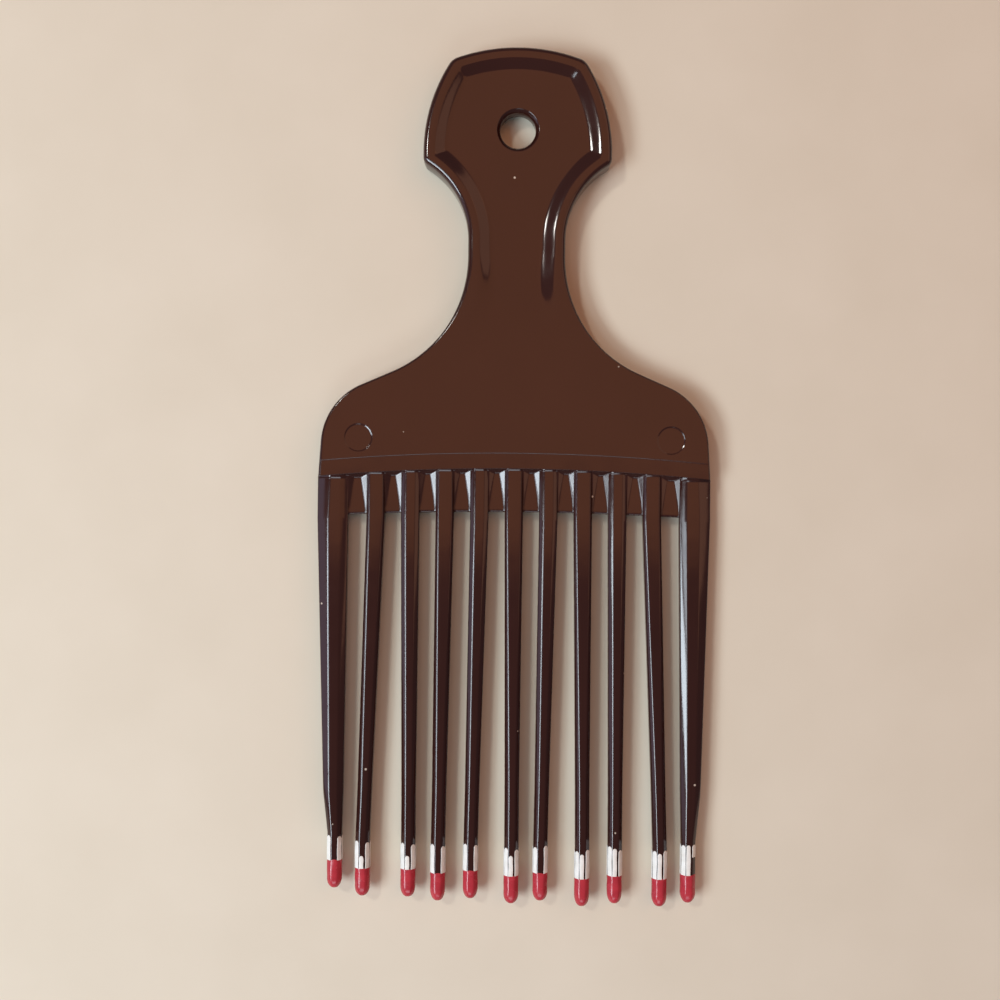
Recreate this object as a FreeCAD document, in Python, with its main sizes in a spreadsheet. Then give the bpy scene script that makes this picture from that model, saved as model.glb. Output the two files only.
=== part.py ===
# Afro pick: a dished handle and a plate that carry a comb of tapered teeth with dipped tips.
# Millimetres. The pick lies on its back, with +Y towards the head and +Z out of the front face.
# Pieces are drawn about the tooth root line (Y 0) and the mid-plane (Z 0), then placed in the part's frame.
import FreeCAD, Part
import math
import operator
import os
from types import SimpleNamespace

from Sketcher import Constraint

# Driving sizes: name, value, meaning
SIZES = (
    ("plate_thickness", 3.6, "plate, and floor of the dished handle"),
    ("rim_height", 1.0, "rim of the handle above the dish's floor, on each face"),
    ("edge_rise", 1.8, "how far the plate's lower edge arches up at the middle"),
    ("strip_width", 3.0, "bevelled strip along the plate's lower edge"),
    ("strip_drop", 0.15, "depth of that bevel at the edge"),
    ("edge_bevel", 0.4, "bevel of the outer edges of handle and plate"),
    ("head_top_radius", 35.0, "arc over the top of the head"),
    ("head_corner_radius", 3.0, "upper corners of the head"),
    ("head_side_radius", 32.0, "bowed sides of the head"),
    ("head_half_width", 18.1, "head at its widest"),
    ("head_depth", 20.1, "top of the head down to its widest point"),
    ("heel_radius", 1.6, "lower corners of the head"),
    ("throat_radius", 17.0, "hollow from the head into the neck"),
    ("throat_length", 16.9, "widest point of the head down to the neck"),
    ("neck_length", 3.0, "straight stretch of the neck"),
    ("neck_half_width", 9.33, "neck at its narrowest"),
    ("waist_radius", 24.0, "hollow from the neck into the shoulders"),
    ("shoulder_angle", 66.5, "slope of the shoulders from the axis, degrees"),
    ("shoulder_radius", 13.0, "rounding of the shoulders"),
    ("flank_angle", 3.7, "slope of the plate's sides from the axis, degrees"),
    ("flank_height", 6.84, "straight side of the plate above the root line"),
    ("rim_width", 1.9, "outline to the start of the dish"),
    ("rim_slope", 2.1, "run of the dish's side from the rim to the floor"),
    ("dish_corner_radius", 1.0, "corners of the dish in plan"),
    ("ramp_start", 1.0, "where the rim starts to fade, above the lower end of the straight neck"),
    ("ramp_length", 20.0, "length over which the rim fades into the plate"),
    ("hole_radius", 3.45, "hang hole"),
    ("hole_mouth", 0.5, "bevel of the hang hole's mouths"),
    ("hole_depth", 15.7, "top of the head to the centre of the hang hole"),
    ("witness_radius", 2.6, "ejector witness rings on the plate"),
    ("witness_sink", 0.08, "depth of the witness rings"),
    ("witness_inset", 7.9, "plate's side to the centre of a witness ring"),
    ("witness_height", 7.5, "root line to the centre of a witness ring"),
    ("tooth_length", 82.5, "tooth root line to the longest tip"),
    ("tooth_pitch", 6.65, "tooth spacing at the root"),
    ("tooth_width", 3.55, "inner tooth at the root"),
    ("tooth_step", 0.25, "edge of the bevelled strip down to the teeth's faces"),
    ("broad_bevel", 0.5, "bevel beside the broad face of an inner tooth at the root"),
    ("slim_bevel", 0.925, "bevel beside the slim face of an inner tooth at the root"),
    ("bevel_depth", 0.5, "depth of the tooth bevels at the root"),
    ("guard_gap", 3.525, "gap between a guard tooth and its neighbour at the root"),
    ("guard_width", 6.0, "guard tooth at the root"),
    ("guard_outer_bevel", 2.2, "outer bevel of a guard tooth at the root"),
    ("guard_inner_bevel", 1.5, "inner bevel of a guard tooth at the root"),
    ("guard_knee_width", 3.9, "guard tooth at the knee"),
    ("guard_knee_inset", 3.45, "plate's side in to a guard tooth's middle at the knee"),
    ("guard_tip_inset", 3.8, "plate's side in to a guard tooth's middle at the tip"),
    ("knee_length", 22.0, "tip line up to the knee, where the taper ends"),
    ("nose_flats", 2.8, "nose octagon across flats"),
    ("nose_margin", 0.5, "straight nose above its longest patch of undercoat"),
    ("core_step", 0.25, "how far the tooth's end is reduced inside the red coat"),
    ("tip_length", 6.0, "red coat along the tooth"),
    ("tip_build", 0.1, "red coat over the flats of the nose"),
    ("tip_cap", 2.0, "solid end of the red coat past the tooth's reduced end"),
    ("tip_bevel", 0.9, "bevel round the red coat's end"),
    ("tip_rounding", 0.3, "smaller bevels on the edges of that bevel, which round the end off"),
    ("web_drop", 7.6, "root line down to the web's lower edge at the guards"),
    ("web_rise", 1.1, "how far the web's lower edge arches up at the middle"),
    ("web_thickness", 1.2, "web between the teeth"),
    ("web_edge_thickness", 0.6, "web along its rounded lower edge"),
    ("web_edge_run", 0.7, "run of that rounding"),
    ("scoop_length", 2.4, "run over which a cell of the web sinks from the plate's edge to its floor"),
    ("cell_fillet", 0.8, "hollow rounding along the sides of a cell"),
    ("root_stub", 0.4, "tooth root below the web's lower edge at the guards"),
    ("root_cover", 0.8, "how far the tooth roots run up inside the plate"),
    ("web_key", 0.4, "how far the web runs into the tooth roots"),
    ("coat_thickness", 0.08, "white undercoat"),
    ("coat_margin", 0.1, "bare line along each facet edge"),
)
# Each tooth from left to right: lean at the tip, shortfall of the tip, and the lengths of the white
# undercoat on its left, front and right facets. A used pick's teeth have taken a set.
TOOTH_SIZES = ("lean", "short", "coat_left", "coat_front", "coat_right")
TEETH = (
    (0.2, 3.1, 4.4, 0.0, 4.2),
    (-1.9, 1.6, 4.9, 2.1, 4.6),
    (0.25, 1.5, 4.7, 2.3, 4.4),
    (-0.65, 0.8, 5.2, 0.0, 4.8),
    (-1.0, 1.3, 4.8, 0.0, 4.6),
    (0.2, 0.4, 5.0, 3.6, 4.7),
    (-0.85, 1.0, 4.6, 0.0, 4.9),
    (0.55, 0.0, 4.9, 4.4, 5.2),
    (0.2, 0.6, 5.3, 5.0, 4.6),
    (2.2, 0.1, 5.0, 4.6, 5.1),
    (0.2, 0.9, 5.4, 5.5, 2.3),
)
MIDDLE = len(TEETH) // 2
# Sides that the facets of a tooth's nose belong to, from the front face round by the right
FACETS = ("front", "right", "right", "right", "front", "left", "left", "left")
# Most of a cell's width that one of its hollow sides may take
CELL_SHARE = 0.45
# How near two lengths or directions are that count as the same
SAME = 0.001

doc = FreeCAD.newDocument("afro_pick")
sheet = doc.addObject("Spreadsheet::Sheet", "dims")
# Each pocket with the feature that it cuts
cuts = []


def joined(sign, work):
    """A method that joins two formulas, or a formula and a number, by one sign."""
    def join(self, other):
        if not isinstance(other, Formula):
            other = Formula(str(other), other)
        return Formula(f"({self.text} {sign} {other.text})", work(self.number, other.number))
    return join


class Formula:
    """A size worked out from the sheet: a text that ties a feature to it, and the number it comes to."""

    def __init__(self, text, number):
        self.text = text
        self.number = number

    __add__ = joined("+", operator.add)
    __sub__ = joined("-", operator.sub)
    __mul__ = joined("*", operator.mul)
    __truediv__ = joined("/", operator.truediv)
    __pow__ = joined("^", operator.pow)

    def __neg__(self):
        return self * -1


def sine(angle):
    return Formula(f"sin({angle.text})", math.sin(math.radians(angle.number)))


def cosine(angle):
    return Formula(f"cos({angle.text})", math.cos(math.radians(angle.number)))


def largest(formulas):
    return Formula(f"max({'; '.join(item.text for item in formulas)})", max(item.number for item in formulas))


def smallest(formulas):
    return Formula(f"min({'; '.join(item.text for item in formulas)})", min(item.number for item in formulas))


def read(name):
    return Formula(f"dims.{name}", float(sheet.get(name)))


def fill_sheet():
    """Writes every driving size into the sheet under its own name."""
    rows = list(SIZES)
    for number, tooth in enumerate(TEETH, start=1):
        rows += [(f"{name}_{number:02d}", size, f"tooth {number}") for name, size in zip(TOOTH_SIZES, tooth)]
    for row, (name, size, meaning) in enumerate(rows, start=1):
        sheet.set(f"A{row}", name)
        sheet.set(f"B{row}", str(size))
        sheet.set(f"C{row}", meaning)
        sheet.setAlias(f"B{row}", name)
    doc.recompute()


def read_tooth(index):
    """One tooth: its place in the row, the end of its names, and its own sizes."""
    number = f"{index + 1:02d}"
    sizes = {name: read(f"{name}_{number}") for name in TOOTH_SIZES}
    return SimpleNamespace(index=index, number=number, guard=index in (0, len(TEETH) - 1), **sizes)


fill_sheet()
size = SimpleNamespace(**{name: read(name) for name, _, _ in SIZES})
teeth = [read_tooth(index) for index in range(len(TEETH))]

# Half thicknesses, and places across and along the axis that several pieces share
ZERO = Formula("0", 0.0)
HALF_PLATE = size.plate_thickness / 2
HALF_RIM = HALF_PLATE + size.rim_height
HALF_TOOTH = HALF_PLATE - size.strip_drop - size.tooth_step
PLATE_SIDE = size.tooth_pitch * (MIDDLE - 1) + size.tooth_width / 2 + size.guard_gap + size.guard_width
ROOT_DROP = size.web_drop + size.root_stub
COVER = size.edge_rise + size.root_cover
KNEE_DROP = size.tooth_length - size.knee_length
CORE_FLATS = size.nose_flats - size.core_step * 2
CORE_LENGTH = size.tip_length - size.tip_cap
# Share of a regular octagon's half width that half of one of its sides takes
OCTAGON = Formula("(sqrt(2) - 1)", math.sqrt(2) - 1)


def neck_foot():
    """Height of the straight neck's lower end, from flank, shoulder and waist, which run into each other."""
    slope, lean = size.shoulder_angle, size.flank_angle
    flank_x = PLATE_SIDE - size.flank_height * sine(lean) / cosine(lean)
    shoulder_x = flank_x - size.shoulder_radius * (cosine(lean) - cosine(slope))
    shoulder_y = size.flank_height + size.shoulder_radius * (sine(slope) - sine(lean))
    waist_x = size.neck_half_width + size.waist_radius - size.waist_radius * cosine(slope)
    return shoulder_y + (shoulder_x - waist_x) * cosine(slope) / sine(slope) + size.waist_radius * sine(slope)


NECK_FOOT = neck_foot()
NECK_TOP = NECK_FOOT + size.neck_length
HEAD_WIDEST = NECK_TOP + size.throat_length
HEAD_TOP = HEAD_WIDEST + size.head_depth
RAMP_TOP = NECK_FOOT + size.ramp_start
RAMP_FOOT = RAMP_TOP - size.ramp_length
PLACE_Y = (size.tooth_length - HEAD_TOP) / 2


def spot_of(pair):
    """The point that a pair of formulas stands for."""
    return point(pair[0].number, pair[1].number)


def point(x, y):
    return FreeCAD.Vector(x, y, 0)


def place(piece, x=ZERO, y=ZERO):
    """Puts a piece that is drawn about x and y, from the root line and mid-plane, into the part's frame."""
    piece.setExpression(".Placement.Base.x", x.text)
    piece.setExpression(".Placement.Base.y", (PLACE_Y + y).text)
    piece.setExpression(".Placement.Base.z", HALF_RIM.text)


def new_body(name):
    body = doc.addObject("PartDesign::Body", name)
    body.Label = name
    return body


def origin_plane(body, role):
    return next(feature for feature in body.Origin.OriginFeatures if feature.Role == role)


def new_sketch(body, name, role, offset=ZERO):
    """A sketch on one of the body's origin planes, moved along the plane's normal."""
    sketch = body.newObject("Sketcher::SketchObject", name)
    sketch.AttachmentSupport = [(origin_plane(body, role), "")]
    sketch.MapMode = "FlatFace"
    sketch.setExpression(".AttachmentOffset.Base.z", offset.text)
    return sketch


def bind(sketch, formula, *constraint):
    """Adds a constraint whose size is tied to a formula."""
    index = sketch.addConstraint(Constraint(*constraint, formula.number))
    sketch.setExpression(f"Constraints[{index}]", formula.text)


def pin(sketch, geometry, position, x, y):
    """Ties a point of a sketch to two formulas."""
    bind(sketch, x, "DistanceX", -1, 1, geometry, position)
    bind(sketch, y, "DistanceY", -1, 1, geometry, position)


class Chain:
    """Lines and arcs drawn one after another in a sketch, each joined to the one before."""

    def __init__(self, sketch):
        self.sketch = sketch
        self.first = None
        self.last = None

    def add(self, geometry, start, end, join):
        index = self.sketch.addGeometry(geometry, False)
        if self.last:
            self.sketch.addConstraint(Constraint(join, *self.last, index, start))
        else:
            self.first = (index, start)
        self.last = (index, end)
        return index

    def line(self, start, end, join="Tangent"):
        return self.add(Part.LineSegment(start, end), 1, 2, join)

    def arc(self, centre, radius, start, end, clockwise, join="Tangent"):
        """An arc whose radius is a formula; it turns clockwise or the other way from start to end."""
        angles = [math.atan2(spot.y - centre.y, spot.x - centre.x) for spot in (start, end)]
        if clockwise:
            angles.reverse()
        circle = Part.Circle(centre, FreeCAD.Vector(0, 0, 1), radius.number)
        ends = (2, 1) if clockwise else (1, 2)
        index = self.add(Part.ArcOfCircle(circle, *angles), *ends, join)
        bind(self.sketch, radius, "Radius", index)
        return index

    def close(self):
        self.sketch.addConstraint(Constraint("Coincident", *self.last, *self.first))


def draw_loop(sketch, corners, hollows=()):
    """A closed outline through corners that are pairs of formulas, drawn clockwise where it has hollow sides.
    hollows maps the number of a side's first corner to the radius of the arc by which that side is dented."""
    spots = [spot_of(corner) for corner in corners]
    chain = Chain(sketch)
    for index, (start, end) in enumerate(zip(spots, spots[1:] + spots[:1])):
        if index in hollows:
            radius = hollows[index]
            side = chain.arc(left_centre(start, end, radius.number), radius, start, end, False, "Coincident")
        else:
            side = chain.line(start, end, "Coincident")
        pin(sketch, side, 1, *corners[index])
    chain.close()


def left_centre(start, end, radius):
    """Centre of the arc from start to end that lies to the left of the way there."""
    half = (end - start) / 2
    across = point(-half.y, half.x) / half.Length
    return start + half + across * math.sqrt(radius ** 2 - half.Length ** 2)


def upper_meeting(first, first_radius, second, second_radius):
    """The upper of the two points where two circles cross."""
    span = second - first
    along = (span.Length ** 2 + first_radius ** 2 - second_radius ** 2) / (2 * span.Length)
    across = math.sqrt(first_radius ** 2 - along ** 2)
    unit = span / span.Length
    foot = first + unit * along
    side = point(-unit.y, unit.x)
    return max((foot + side * across, foot - side * across), key=lambda spot: spot.y)


def towards(centre, target, distance):
    """The point at a distance from a centre, on the way to a target."""
    way = target - centre
    return centre + way * (distance / way.Length)


def draw_head(chain, inset, corner, heel):
    """Right half of the edge from the top of the head to the neck's foot, moved inwards by inset.
    Returns the centre and radius of the waist's hollow, and the point where it starts."""
    sketch = chain.sketch
    centres = {
        "top": (ZERO, HEAD_TOP - size.head_top_radius),
        "side": (size.head_half_width - size.head_side_radius, HEAD_WIDEST),
        "throat": (size.neck_half_width + size.throat_radius, NECK_TOP),
        "waist": (size.neck_half_width + size.waist_radius, NECK_FOOT),
    }
    radii = {
        "top": size.head_top_radius - inset,
        "side": size.head_side_radius - inset,
        "throat": size.throat_radius + inset,
        "waist": size.waist_radius + inset,
    }
    spot = {name: spot_of(centre) for name, centre in centres.items()}
    reach = {name: radius.number for name, radius in radii.items()}
    corner_spot = upper_meeting(
        spot["top"], reach["top"] - corner.number, spot["side"], reach["side"] - corner.number)
    heel_spot = upper_meeting(
        spot["side"], reach["side"] - heel.number, spot["throat"], reach["throat"] + heel.number)
    crown = spot["top"] + point(0, reach["top"])
    corner_start = towards(spot["top"], corner_spot, reach["top"])
    corner_end = towards(spot["side"], corner_spot, reach["side"])
    heel_start = towards(spot["side"], heel_spot, reach["side"])
    heel_end = towards(spot["throat"], heel_spot, reach["throat"])
    neck_start = spot["throat"] - point(reach["throat"], 0)
    neck_end = spot["waist"] - point(reach["waist"], 0)

    top = chain.arc(spot["top"], radii["top"], crown, corner_start, True)
    pin(sketch, top, 3, *centres["top"])
    sketch.addConstraint(Constraint("PointOnObject", top, 2, -2))
    chain.arc(corner_spot, corner, corner_start, corner_end, True)
    side = chain.arc(spot["side"], radii["side"], corner_end, heel_start, True)
    pin(sketch, side, 3, *centres["side"])
    chain.arc(heel_spot, heel, heel_start, heel_end, True)
    throat = chain.arc(spot["throat"], radii["throat"], heel_end, neck_start, False)
    pin(sketch, throat, 3, *centres["throat"])
    chain.line(neck_start, neck_end)
    return centres["waist"], radii["waist"], neck_end


def draw_outline(sketch):
    """Right half of the outline of handle and plate, closed along the axis."""
    chain = Chain(sketch)
    waist_centre, waist_radius, neck_end = draw_head(chain, ZERO, size.head_corner_radius, size.heel_radius)
    slope = math.radians(size.shoulder_angle.number)
    lean = math.radians(size.flank_angle.number)
    waist_spot = spot_of(waist_centre)
    waist_end = waist_spot - point(math.cos(slope), math.sin(slope)) * waist_radius.number
    foot = point(PLATE_SIDE.number, 0)
    height = size.flank_height.number
    flank_top = foot + point(-height * math.tan(lean), height)
    shoulder_spot = flank_top - point(math.cos(lean), math.sin(lean)) * size.shoulder_radius.number
    shoulder_start = shoulder_spot + point(math.cos(slope), math.sin(slope)) * size.shoulder_radius.number
    middle = point(0, size.edge_rise.number)
    arch = arch_radius(size.edge_rise)
    arch_spot = middle - point(0, arch.number)

    waist = chain.arc(waist_spot, waist_radius, neck_end, waist_end, False)
    pin(sketch, waist, 3, *waist_centre)
    shoulder = chain.line(waist_end, shoulder_start)
    bind(sketch, angle_down(size.shoulder_angle), "Angle", shoulder)
    chain.arc(shoulder_spot, size.shoulder_radius, shoulder_start, flank_top, True)
    flank = chain.line(flank_top, foot)
    pin(sketch, flank, 2, PLATE_SIDE, ZERO)
    bind(sketch, angle_down(size.flank_angle), "Angle", flank)
    lower = chain.arc(arch_spot, arch, foot, middle, False, "Coincident")
    pin(sketch, lower, 2, ZERO, size.edge_rise)
    chain.line(middle, point(0, HEAD_TOP.number), "Coincident")
    chain.close()


def angle_down(from_axis):
    """Direction of a line falling away from the axis, in degrees for the sheet, radians for the sketch."""
    return Formula(f"({from_axis.text} - 90)", math.radians(from_axis.number - 90))


def draw_dish(sketch, inset):
    """Right half of the dish at one level; it ends past the ramp, where the rim has faded away."""
    chain = Chain(sketch)
    corner = size.dish_corner_radius
    waist_centre, waist_radius, neck_end = draw_head(chain, inset, corner, corner)
    waist_spot = spot_of(waist_centre)
    drop = waist_spot.y - RAMP_FOOT.number
    foot = point(waist_spot.x - math.sqrt(waist_radius.number ** 2 - drop ** 2), RAMP_FOOT.number)
    waist = chain.arc(waist_spot, waist_radius, neck_end, foot, False)
    pin(sketch, waist, 3, *waist_centre)
    floor = chain.line(foot, point(0, foot.y), "Coincident")
    pin(sketch, floor, 2, ZERO, RAMP_FOOT)
    sketch.addConstraint(Constraint("Horizontal", floor))
    chain.line(point(0, foot.y), point(0, (HEAD_TOP - inset).number), "Coincident")
    chain.close()


def draw_ramp(sketch, sign):
    """Side view of what is taken off one face below the handle: an S of two arcs down to the plate."""
    high, low, past = HALF_RIM * sign, HALF_PLATE * sign, -ROOT_DROP
    beyond = high * 2
    bend = ((size.ramp_length / 2) ** 2 + (size.rim_height / 2) ** 2) / size.rim_height
    start, end = spot_of((RAMP_TOP, high)), spot_of((RAMP_FOOT, low))
    middle = (start + end) / 2
    lift = point(0, sign * bend.number)
    chain = Chain(sketch)
    crest = chain.arc(start - lift, bend, start, middle, sign < 0)
    pin(sketch, *chain.first, RAMP_TOP, high)
    sketch.addConstraint(Constraint("Vertical", *chain.first, crest, 3))
    chain.arc(end + lift, bend, middle, end, sign > 0)
    level = chain.line(end, spot_of((past, low)))
    pin(sketch, level, 2, past, low)
    for corner in ((past, beyond), (RAMP_TOP, beyond)):
        before = sketch.getPoint(*chain.last)
        side = chain.line(before, spot_of(corner), "Coincident")
        pin(sketch, side, 2, *corner)
    chain.line(spot_of((RAMP_TOP, beyond)), start, "Coincident")
    chain.close()
    sketch.addConstraint(Constraint("Horizontal", level))


def draw_circle(sketch, x, y, radius):
    circle = Part.Circle(spot_of((x, y)), FreeCAD.Vector(0, 0, 1), radius.number)
    index = sketch.addGeometry(circle, False)
    pin(sketch, index, 3, x, y)
    bind(sketch, radius, "Radius", index)


def cut_pocket(body, name, sketch, length=None, reverse=False):
    """A pocket right through the body both ways from its sketch, or to a depth from the sketch."""
    base = body.Tip
    pocket = body.newObject("PartDesign::Pocket", name)
    pocket.Profile = sketch
    pocket.Reversed = reverse
    if length:
        pocket.setExpression(".Length", length.text)
    else:
        pocket.Type = "ThroughAll"
        pocket.SideType = "Symmetric"
    cuts.append((pocket, base))
    return pocket


def cut_dish(body, face, sign):
    """The hollow in one face of the handle, whose side slopes from the floor up to the rim."""
    floor = new_sketch(body, f"{face}_dish_floor", "XY_Plane", HALF_PLATE * sign)
    draw_dish(floor, size.rim_width + size.rim_slope)
    mouth = new_sketch(body, f"{face}_dish_mouth", "XY_Plane", HALF_RIM * sign)
    draw_dish(mouth, size.rim_width)
    dish = body.newObject("PartDesign::SubtractiveLoft", f"{face}_dish")
    dish.Profile = floor
    dish.Sections = [mouth]
    dish.Ruled = True
    return dish


def edge_names(shape, wanted):
    return [f"Edge{number}" for number, edge in enumerate(shape.Edges, start=1) if wanted(edge)]


def is_wall(face):
    """Whether a face stands square to the plate."""
    low_u, high_u, low_v, high_v = face.ParameterRange
    normal = face.normalAt((low_u + high_u) / 2, (low_v + high_v) / 2)
    return abs(normal.z) < SAME


def outer_edges(shape):
    """Names of the edges where the outline's walls meet the faces, except along the plate's lower edge."""
    def wanted(edge):
        walls = [face for face in shape.ancestorsOfType(edge, Part.Face) if is_wall(face)]
        return len(walls) == 1 and edge.BoundBox.YMax > size.edge_rise.number + SAME
    return edge_names(shape, wanted)


def lower_edges(shape):
    """Names of the arched edges along the plate's lower side."""
    rise = size.edge_rise.number

    def wanted(edge):
        box = edge.BoundBox
        return box.YMin > -SAME and box.YMax < rise + SAME and box.XLength > rise
    return edge_names(shape, wanted)


def hole_edges(shape):
    """Names of the circles at the two mouths of the hang hole."""
    def wanted(edge):
        return isinstance(edge.Curve, Part.Circle) and abs(edge.Curve.Radius - size.hole_radius.number) < SAME
    return edge_names(shape, wanted)


def dress(body, kind, name, edges):
    """A dressing of the edges that a function picks from the body's present shape."""
    doc.recompute()
    base = body.Tip
    feature = body.newObject(f"PartDesign::{kind}", name)
    feature.Base = (base, edges(base.Shape))
    return feature


def make_grip():
    """Handle and plate: half a slab, thinned and dished on both faces, then mirrored and dressed."""
    body = new_body("grip_form")
    outline = new_sketch(body, "outline", "XY_Plane")
    draw_outline(outline)
    slab = body.newObject("PartDesign::Pad", "slab")
    slab.Profile = outline
    slab.SideType = "Symmetric"
    slab.setExpression(".Length", (HALF_RIM * 2).text)
    halves = [slab]
    for face, sign in (("front", 1), ("back", -1)):
        ramp = new_sketch(body, f"{face}_ramp_profile", "YZ_Plane")
        draw_ramp(ramp, sign)
        halves.append(cut_pocket(body, f"{face}_ramp", ramp))
        halves.append(cut_dish(body, face, sign))
    mirrored = body.newObject("PartDesign::Mirrored", "both_halves")
    mirrored.Originals = halves
    mirrored.MirrorPlane = (origin_plane(body, "YZ_Plane"), [""])
    body.Tip = mirrored

    strip = dress(body, "Chamfer", "lower_strip", lower_edges)
    strip.ChamferType = "Two distances"
    strip.setExpression(".Size", size.strip_width.text)
    strip.setExpression(".Size2", size.strip_drop.text)
    outer = dress(body, "Chamfer", "edge_bevel", outer_edges)
    outer.setExpression(".Size", size.edge_bevel.text)
    hang = new_sketch(body, "hang_hole_circle", "XY_Plane")
    draw_circle(hang, ZERO, HEAD_TOP - size.hole_depth, size.hole_radius)
    cut_pocket(body, "hang_hole", hang)
    mouths = dress(body, "Chamfer", "hang_hole_mouths", hole_edges)
    mouths.setExpression(".Size", size.hole_mouth.text)
    rings = new_sketch(body, "witness_circles", "XY_Plane", HALF_PLATE)
    for side in (-1, 1):
        draw_circle(rings, (PLATE_SIDE - size.witness_inset) * side, size.witness_height, size.witness_radius)
    cut_pocket(body, "witness_rings", rings, size.witness_sink)
    return body


def root_centre(tooth):
    return size.tooth_pitch * (tooth.index - MIDDLE)


def outward(tooth, formula):
    """A distance from the axis, on the side of the axis where a guard tooth stands."""
    return -formula if tooth.index == 0 else formula


def root_sides(tooth, cover=ZERO):
    """Where a tooth's sides, front face and back face start and end at its root.
    Inner teeth stand broad face and slim face to the front by turns."""
    if tooth.guard:
        inner = PLATE_SIDE - size.guard_width
        sides = [outward(tooth, x) for x in (PLATE_SIDE - cover, inner)]
        ends = (PLATE_SIDE - size.guard_outer_bevel, inner + size.guard_inner_bevel)
        face = [outward(tooth, x) for x in ends]
        if tooth.index:
            sides.reverse()
            face.reverse()
        return {"sides": sides, "front": face, "back": face}
    bevels = {"sides": ZERO, "front": size.slim_bevel, "back": size.broad_bevel}
    if tooth.index % 2:
        bevels["front"], bevels["back"] = bevels["back"], bevels["front"]
    halves = {name: size.tooth_width / 2 - bevel for name, bevel in bevels.items()}
    centre = root_centre(tooth)
    return {name: [centre - half, centre + half] for name, half in halves.items()}


def section(sides, front, back, half, bevel):
    """Corners of a tooth's section, clockwise from the left end of its front face."""
    shelf = half - bevel
    return [
        (front[0], half),
        (front[1], half),
        (sides[1], shelf),
        (sides[1], -shelf),
        (back[1], -half),
        (back[0], -half),
        (sides[0], -shelf),
        (sides[0], shelf),
    ]


def root_section(tooth, cover=ZERO):
    return section(**root_sides(tooth, cover), half=HALF_TOOTH, bevel=size.bevel_depth)


def octagon(centre, width, thickness):
    """Corners of an octagon, regular where its width and thickness are the same."""
    half_width, half = width / 2, thickness / 2
    sides = [centre - half_width, centre + half_width]
    face = [centre - half_width * OCTAGON, centre + half_width * OCTAGON]
    return section(sides, face, face, half, half - half * OCTAGON)


def tip_centre(tooth):
    """Where a tooth's tip stands, with its lean."""
    straight = outward(tooth, PLATE_SIDE - size.guard_tip_inset) if tooth.guard else root_centre(tooth)
    return straight + tooth.lean


def tip_drop(tooth, length):
    """How far below the root line a tooth is, at a length up from its tip."""
    return size.tooth_length - tooth.short - length


def nose_drop(tooth):
    """How far below the root line a tooth's straight nose starts, which carries the coats."""
    longest = largest([tooth.coat_left, tooth.coat_front, tooth.coat_right])
    return tip_drop(tooth, size.tip_length + longest + size.nose_margin)


def knee_section(tooth):
    """The tooth's section where its taper ends; it has leant in step with its distance from the root."""
    share = (KNEE_DROP - ROOT_DROP) / (nose_drop(tooth) - ROOT_DROP)
    straight, width = root_centre(tooth), size.nose_flats
    if tooth.guard:
        straight, width = outward(tooth, PLATE_SIDE - size.guard_knee_inset), size.guard_knee_width
    return octagon(straight + tooth.lean * share, width, size.nose_flats)


def loft_body(name, stations):
    """A body with straight sides through sections: each a name, a drop below the root line and corners."""
    body = new_body(name)
    sketches = []
    for station, drop, corners in stations:
        sketch = new_sketch(body, f"{name}_{station}", "XZ_Plane", drop)
        draw_loop(sketch, corners)
        sketches.append(sketch)
    blade = body.newObject("PartDesign::AdditiveLoft", f"{name}_loft")
    blade.Profile = sketches[0]
    blade.Sections = sketches[1:]
    blade.Ruled = True
    return body


def make_tooth(tooth):
    """The free length of a tooth: a taper from root to knee, a straight nose, and the end inside its coat."""
    nose = octagon(tip_centre(tooth), size.nose_flats, size.nose_flats)
    coat_drop = tip_drop(tooth, size.tip_length)
    body = loft_body(f"tooth_{tooth.number}", (
        ("root", ROOT_DROP, root_section(tooth)),
        ("knee", KNEE_DROP, knee_section(tooth)),
        ("nose", nose_drop(tooth), nose),
        ("coat", coat_drop, nose),
    ))
    core = new_sketch(body, f"core_{tooth.number}", "XZ_Plane", coat_drop)
    draw_loop(core, octagon(tip_centre(tooth), CORE_FLATS, CORE_FLATS))
    end = body.newObject("PartDesign::Pad", f"end_{tooth.number}")
    end.Profile = core
    end.setExpression(".Length", CORE_LENGTH.text)
    place(body)
    return body


def end_edges(shape):
    """Names of the level edges in the lower half of a red coat."""
    def wanted(edge):
        box = edge.BoundBox
        return box.YLength < SAME and box.YMax < -size.tip_length.number / 2
    return edge_names(shape, wanted)


def make_tip(tooth):
    """A red dipped coat: an octagon with a rounded end, and a socket for the tooth's reduced end."""
    body = new_body(f"tip_{tooth.number}")
    flats = size.nose_flats + size.tip_build * 2
    outline = new_sketch(body, f"coat_outline_{tooth.number}", "XZ_Plane")
    draw_loop(outline, octagon(ZERO, flats, flats))
    coat = body.newObject("PartDesign::Pad", f"coat_{tooth.number}")
    coat.Profile = outline
    coat.setExpression(".Length", size.tip_length.text)
    for name, width in (("end_bevel", size.tip_bevel), ("end_rounding", size.tip_rounding)):
        bevel = dress(body, "Chamfer", f"{name}_{tooth.number}", end_edges)
        bevel.setExpression(".Size", width.text)
    socket = new_sketch(body, f"socket_outline_{tooth.number}", "XZ_Plane")
    draw_loop(socket, octagon(ZERO, CORE_FLATS, CORE_FLATS))
    cut_pocket(body, f"socket_{tooth.number}", socket, CORE_LENGTH, reverse=True)
    place(body, tip_centre(tooth), -tip_drop(tooth, size.tip_length))
    return body


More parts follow.
